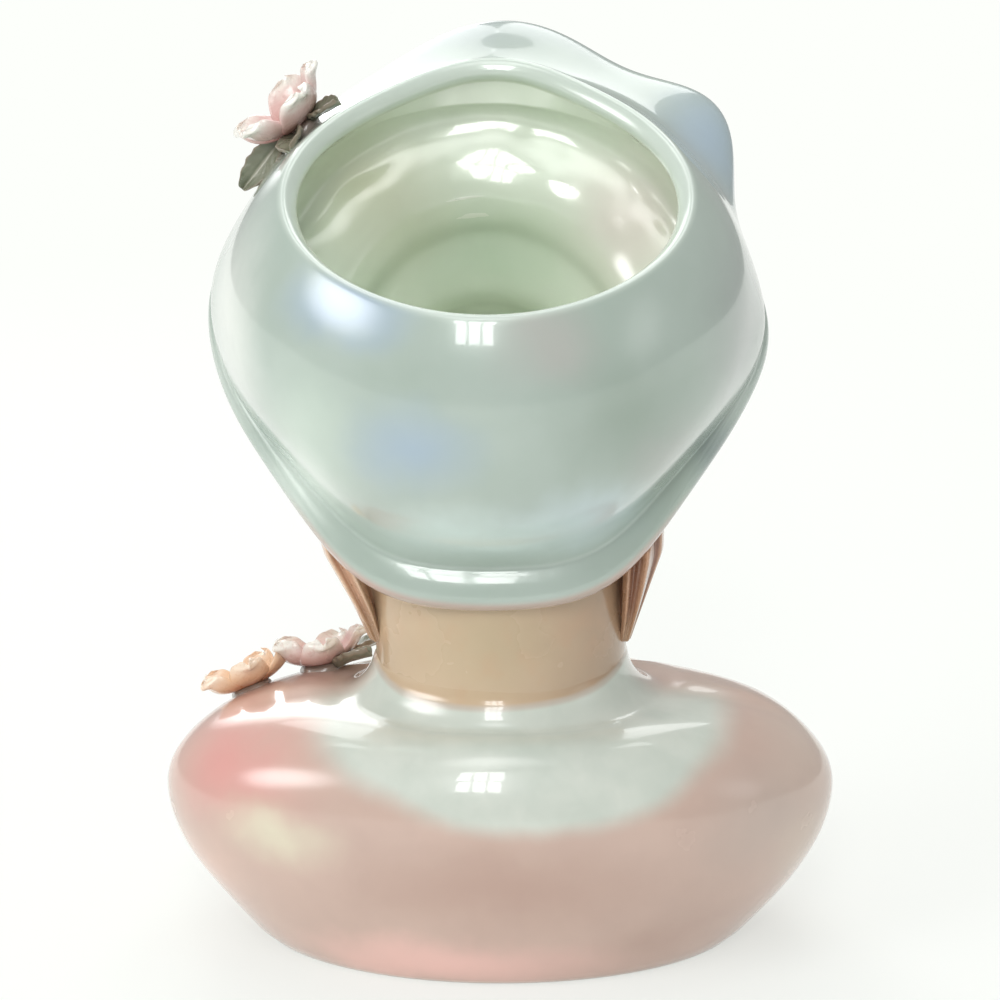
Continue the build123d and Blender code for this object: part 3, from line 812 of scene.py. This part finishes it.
def innerGlaze():
    g = Glaze("inner_glaze")
    place = g.warped(10.0, 4.0)
    colour = g.mix(g.noise(13.0, 3.0, place=place), srgb(224, 234, 214), srgb(242, 245, 234))
    colour = g.mix(g.step(g.z, 66.0, 50.0) * 0.4, colour, srgb(172, 190, 166))  # the glaze pools low down
    g.set(Base_Color=colour)
    g.gloss(0.16, 0.3)
    g.bump(g.noise(12.0, 2.0), 0.1)
    return g.material


finishPiece("head_shell", makeHead(), [skinGlaze(), innerGlaze()], ["head"])


# flowers: a calyx on the casting, five pinched petals and a beaded middle
flowers = dict(
    petalLength=8.6, petalWidth=7.8, petalThick=0.95, rootOut=1.5, padHeight=1.8, padRadius=4.0, middle=2.1,
    hat=dict(place=(36.07, -24.722, 142.275), normal=(0.6182, 0.1414, 0.7732), opening=46.0, size=1.25),
    pink=dict(place=(33.5, -14.5, 43.155), normal=(0.1848, -0.174, 0.9672), opening=50.0, size=1.1),
    orange=dict(place=(46.0, -11.0, 40.225), normal=(0.3645, -0.2318, 0.9019), opening=52.0, size=1.0),
    leafLength=12.0, leafWidth=5.6, leafThick=0.9, leafOut=3.2, leafRise=1.2,
    # turn, lift, twist and length share of each leaf
    hatLeaves=[(-36.0, 8.0, 0.0, 0.8), (-108.0, -8.0, -55.0, 1.0), (36.0, 10.0, 0.0, 0.6)],
    shoulderLeaves=[(-36.0, 18.0, 0.0, 0.8), (36.0, 16.0, 0.0, 1.0)],
)


def flowerFrame(place, normal, towards):
    z = Vector(normal).normalized()
    x = (Vector(towards) - z * Vector(towards).dot(z)).normalized()
    y = z.cross(x)
    return Matrix.Translation(place) @ Matrix((x, y, z)).transposed().to_4x4()


def makePetal(frameMatrix, index, opening, size, seed):
    bm = bmesh.new()
    alongLayer = bm.verts.layers.float.new("along")
    bmesh.ops.create_grid(bm, x_segments=16, y_segments=14, size=1.0)
    length, width = flowers["petalLength"] * size, flowers["petalWidth"] / 2 * size
    wobble = Vector((seed * 7.3, index * 3.1, 0))
    for v in bm.verts:
        along, across = (v.co.x + 1) / 2, v.co.y
        round_ = sin(pi * (0.1 + 0.9 * along) ** 0.8) ** 0.6 if along < 1 else 0.0
        half = width * (0.22 + 0.78 * max(round_, 0.0))
        half *= 1 - 0.3 * smoothStep(0.86, 1.0, along)
        tip = length * (along - 0.1 * smoothStep(0.7, 1.0, along) * across ** 2 - 0.035 * smoothStep(0.8, 1, along) * bell(across, 0.3))
        cup = 1.9 * across ** 2 * (0.35 + 0.65 * along) - 1.7 * sin(pi * along * 0.9)
        curl = -1.5 * smoothStep(0.62, 1.0, along) ** 2
        ruffle = 0.55 * noise.noise(Vector((along * 2.2, across * 1.6, 0)) + wobble) * along
        v[alongLayer] = along
        v.co = Vector((tip, half * across, cup + curl + ruffle))
    bmesh.ops.solidify(bm, geom=bm.faces[:], thickness=flowers["petalThick"])
    lean = Matrix.Rotation(radians(opening - 90), 4, "Y")
    root = Matrix.Translation((flowers["rootOut"], 0, flowers["padHeight"] + 0.1))
    turned = Matrix.Rotation(radians(72 * index + 6 * sin(seed + index * 2.1)), 4, "Z")
    bmesh.ops.transform(bm, matrix=frameMatrix @ turned @ root @ lean, verts=bm.verts)
    return bm


def makeCalyx(frameMatrix):
    bm = bmesh.new()
    radius, height = flowers["padRadius"], flowers["padHeight"]
    levels = [(0.05, -1.2), (0.6, -1.2), (0.97, -1.0), (1.03, -0.2), (0.98, height * 0.55), (0.8, height * 0.95), (0.4, height), (0.05, height)]

    def place(turn, level, v):
        pinch = 1 + 0.07 * cos(5 * turn) * smoothStep(-0.8, 0.6, level[1])
        return Vector((radius * level[0] * pinch * sin(turn), radius * level[0] * pinch * cos(turn), level[1]))

    first, last = loftRings(bm, 30, levels, place)
    fillRing(bm, first)
    fillRing(bm, last)
    bmesh.ops.transform(bm, matrix=frameMatrix, verts=bm.verts)
    return bm


def makeMiddle(frameMatrix):
    bm = bmesh.new()
    radius = flowers["middle"]
    bmesh.ops.create_icosphere(bm, subdivisions=3, radius=radius * 0.78)
    for ring, count, lift in ((0, 1, 1.0), (1, 6, 0.76), (2, 9, 0.3)):
        for n in range(count):
            turn = 2 * pi * n / count + ring * 0.4
            out = sqrt(1 - lift ** 2)
            spot = Vector((out * cos(turn), out * sin(turn), lift)) * radius * 0.74
            bmesh.ops.create_icosphere(bm, subdivisions=2, radius=radius * 0.26, matrix=Matrix.Translation(spot))
    lift = Matrix.Translation((0, 0, flowers["padHeight"] + 1.3))
    bmesh.ops.transform(bm, matrix=frameMatrix @ lift, verts=bm.verts)
    return bm


def makeLeaf(frameMatrix, turn, lift, twist, share, seed):
    bm = bmesh.new()
    acrossLayer = bm.verts.layers.float.new("across")
    alongLayer = bm.verts.layers.float.new("along")
    bmesh.ops.create_grid(bm, x_segments=24, y_segments=14, size=1.0)
    length, width = flowers["leafLength"] * share, flowers["leafWidth"] / 2
    for v in bm.verts:
        along, across = (v.co.x + 1) / 2, v.co.y
        half = width * (0.1 + 0.9 * sin(pi * min(along * 0.96 + 0.02, 1.0)) ** 0.75)
        teeth = 1 + 0.07 * sin(along * 34) * abs(across) ** 3
        veins = 0.16 * cos(26 * along - 9 * abs(across)) * smoothStep(0.1, 0.5, abs(across)) * (1 - along) ** 0.3
        fold = 1.1 * abs(across) ** 1.3 - 0.3 * bell(across, 0.14)
        droop = -1.3 * along ** 2 + 0.4 * noise.noise(Vector((along * 2, across, seed * 5.0)))
        v[alongLayer], v[acrossLayer] = along, across
        v.co = Vector((length * along, half * teeth * across, fold + veins + droop))
    bmesh.ops.solidify(bm, geom=bm.faces[:], thickness=flowers["leafThick"])
    root = Matrix.Translation((flowers["leafOut"], 0, flowers["leafRise"]))
    place = Matrix.Rotation(radians(turn), 4, "Z") @ root @ Matrix.Rotation(radians(-lift), 4, "Y")
    place = place @ Matrix.Rotation(radians(twist), 4, "X")
    bmesh.ops.transform(bm, matrix=frameMatrix @ place, verts=bm.verts)
    return bm


def petalGlaze(name, root, middle, tip, streak):
    g = Glaze(name)
    along = g.attribute("along") + 0.22 * (g.noise(2.6, 3.0) - 0.5)
    colour = g.mix(g.step(along, 0.12, 0.5), srgb(*root), srgb(*middle))
    colour = g.mix(g.step(along, 0.5, 0.92), colour, srgb(*tip))
    colour = g.mix(g.step(g.noise(1.1, 2.0, warp=1.5), 0.54, 0.7) * 0.3, colour, srgb(*streak))
    g.set(Base_Color=colour)
    g.gloss(0.2, 0.34, size=3.0)
    g.bump(g.noise(2.4, 2.0), 0.12)
    return g.material


def leafGlaze():
    g = Glaze("leaf_paint")
    across = abs(g.attribute("across"))
    colour = g.mix(g.noise(3.4, 3.0), srgb(104, 110, 88), srgb(146, 148, 128))
    colour = g.mix(g.step(across, 0.16, 0.04) * 0.7, colour, srgb(176, 174, 156))
    colour = g.mix(g.step(across, 0.74, 1.0) * 0.6, colour, srgb(150, 130, 112))
    colour = g.mix(g.step(g.attribute("along"), 0.3, 0.0) * 0.6, colour, srgb(120, 104, 92))
    g.set(Base_Color=colour)
    g.gloss(0.22, 0.36, size=3.0)
    g.bump(g.noise(1.6, 2.0), 0.14)
    return g.material


def middleGlaze():
    g = Glaze("flower_middle")
    colour = g.mix(g.noise(0.9, 3.0), srgb(206, 166, 92), srgb(236, 212, 140))
    g.set(Base_Color=colour)
    g.gloss(0.22, 0.36, size=2.0)
    g.bump(g.noise(0.8, 2.0), 0.1)
    return g.material


def calyxGlaze():
    g = Glaze("calyx_paint")
    colour = g.mix(g.noise(2.2, 3.0), srgb(136, 124, 110), srgb(170, 152, 142))
    g.set(Base_Color=colour)
    g.gloss(0.24, 0.38, size=3.0)
    g.bump(g.noise(1.8, 2.0), 0.12)
    return g.material


calyxPaint, middlePaint, leafPaint = calyxGlaze(), middleGlaze(), leafGlaze()
pinkPaint = petalGlaze("pink_petals", (198, 140, 134), (222, 186, 180), (246, 242, 234), (214, 168, 162))
orangePaint = petalGlaze("orange_petals", (222, 150, 104), (240, 200, 164), (250, 228, 206), (228, 176, 134))


def makeFlower(name, spot, petalPaint, seed):
    frameMatrix = spot["frame"]
    finishPiece(f"{name}_calyx", makeCalyx(frameMatrix), [calyxPaint], [f"{name}_pad"], [subdivided(1)])
    finishPiece(f"{name}_middle", makeMiddle(frameMatrix), [middlePaint], [f"{name}_centre"], tidy=False)
    for index in range(5):
        opening = spot["opening"] + 5 * sin(seed * 3 + index * 1.7)
        bm = makePetal(frameMatrix, index, opening, spot["size"], seed)
        node = f"{name}_petal_{index + 1}"
        finishPiece(node.replace("petal", "petalSkin"), bm, [petalPaint], [node], [subdivided(1)])


for flowerName, kind, towards, paint, seed in (
    ("hat_flower", "hat", tuple(hatOut), pinkPaint, 1),
    ("pink_flower", "pink", (-1, 0, 0), pinkPaint, 2),
    ("orange_flower", "orange", (-1, 0, 0), orangePaint, 3),
):
    spot = flowers[kind]
    spot["frame"] = flowerFrame(spot["place"], spot["normal"], towards)
    makeFlower(flowerName, spot, paint, seed)
for leafName, kind, places in (("hat_leaf", "hat", "hatLeaves"), ("shoulder_leaf", "pink", "shoulderLeaves")):
    for index, leafPlace in enumerate(flowers[places]):
        leaf = makeLeaf(flowers[kind]["frame"], *leafPlace, index + len(leafName))
        node = f"{leafName}_{index + 1}"
        finishPiece(node.replace("leaf", "leafSkin"), leaf, [leafPaint], [node], [subdivided(1)])


# hair: a swept fringe under the brim and a flat lock down each side of the neck
hair = dict(
    halfAngle=97.0, top=-4.4, band=12.5, thick=2.6, strands=13.0,
    lockTop=84.0, lockLength=29.0, lockThick=5.2, lockTaper=0.29, lockBack=6.0, lockHalf=9.0,
)


def makeFringe():
    bm = bmesh.new()
    shadeLayer = bm.verts.layers.float.new("shade")
    bmesh.ops.create_grid(bm, x_segments=150, y_segments=26, size=1.0)
    for v in bm.verts:
        turn, down = radians(hair["halfAngle"]) * v.co.x, (v.co.y + 1) / 2
        side = 1 if turn > -0.25 else -1  # parted a little to one side
        sweep = abs(turn + 0.25)
        scallop = 1.3 * sin(sweep * 7.0) * down
        rise = hair["top"] - (hair["band"] + scallop - 2.5 * bell(turn + 0.25, 0.22)) * down
        groove = cos(hair["strands"] * sweep * 2.2 + side * 5.5 * down + 0.6 * sin(sweep * 5))
        fine = cos(hair["strands"] * sweep * 6.5 + side * 11.0 * down)
        swell = 1 - down ** 4 * 0.8
        v[shadeLayer] = 0.5 + 0.32 * groove + 0.18 * fine
        out = (hair["thick"] - 0.7) * swell + (0.42 * groove + 0.12 * fine) * swell - 0.9 * bell(turn + 0.25, 0.05)
        v.co = hatPoint(turn, skullReach(turn, rise, -max(out, 0.15)), rise)
    return bm


def neckWidth(height):
    return head["neck"][0] + head["neckFlare"] * smoothStep(50.0, 94.0, height)


def makeLock(side):
    bm = bmesh.new()

    def place(turn, drop, v):
        height = hair["lockTop"] - hair["lockLength"] * drop
        thick = min(hair["lockThick"], hair["lockTaper"] * (height - hair["lockTop"] + hair["lockLength"])) + 0.4
        strand = 0.12 * cos(6 * turn + 4.0 * drop) + 0.04 * cos(15 * turn + 9.0 * drop)
        v[bm.verts.layers.float["shade"]] = 0.5 + 3.0 * strand
        groove = 1 + strand
        halfX, halfY = thick / 2 + 0.9, hair["lockHalf"] * (1 - 0.85 * drop ** 2.2)
        lean = head["centre"][0] * smoothStep(50.0, 88.0, height)
        x = lean + side * (neckWidth(height) - 0.9 + thick / 2) + halfX * groove * sin(turn)
        y = hair["lockBack"] - 2.0 * drop + halfY * groove * cos(turn)
        return Vector((x, y, height))

    first, last = loftRings(bm, 72, [n / 28 for n in range(29)], place)
    fillRing(bm, first)
    fillRing(bm, last)
    # the brim covers the top of the lock
    whole = bm.verts[:] + bm.edges[:] + bm.faces[:]
    bmesh.ops.bisect_plane(bm, geom=whole, plane_co=hatPoint(0, 0, -3.2), plane_no=hatOut, clear_outer=True)
    bmesh.ops.holes_fill(bm, edges=[e for e in bm.edges if e.is_boundary], sides=0)
    return bm


def hairGlaze():
    g = Glaze("painted_hair")
    strands = g.attribute("shade") + 0.3 * (g.noise(3.0, 2.0) - 0.5)
    colour = g.mix(g.step(strands, 0.1, 0.9), srgb(122, 86, 64), srgb(168, 126, 96))
    # the left lock is painted a paler tan: partly its own colour, partly painted light against the shade under the
    # brim
    tan = g.mix(g.step(strands, 0.3, 0.7), srgb(208, 162, 132), srgb(238, 204, 176))
    colour = g.mix(g.bloom((28, 8, 70), (16, 40, 34)) * 0.95, colour, tan)
    rust = g.mix(g.step(strands, 0.3, 0.7), srgb(148, 102, 80), srgb(206, 160, 130))
    colour = g.mix(g.bloom((-24, 8, 70), (14, 40, 34)) * 0.9, colour, rust)
    colour = g.mix(g.step(g.z, 64.0, 55.5) * 0.8, colour, srgb(204, 168, 138))
    g.set(Base_Color=colour)
    g.gloss(0.2, 0.36, size=4.0)
    g.bump(strands, 0.2)
    return g.material


hairPaint = hairGlaze()
shell = ("SOLIDIFY", {"thickness": 1.4 * mm, "offset": -1.0})
finishPiece("fringe", makeFringe(), [hairPaint], ["hair_fringe"], [shell])
finishPiece("lock_left", makeLock(1), [hairPaint], ["hair_lock_left"], [subdivided(1)])
finishPiece("lock_right", makeLock(-1), [hairPaint], ["hair_lock_right"], [subdivided(1)])
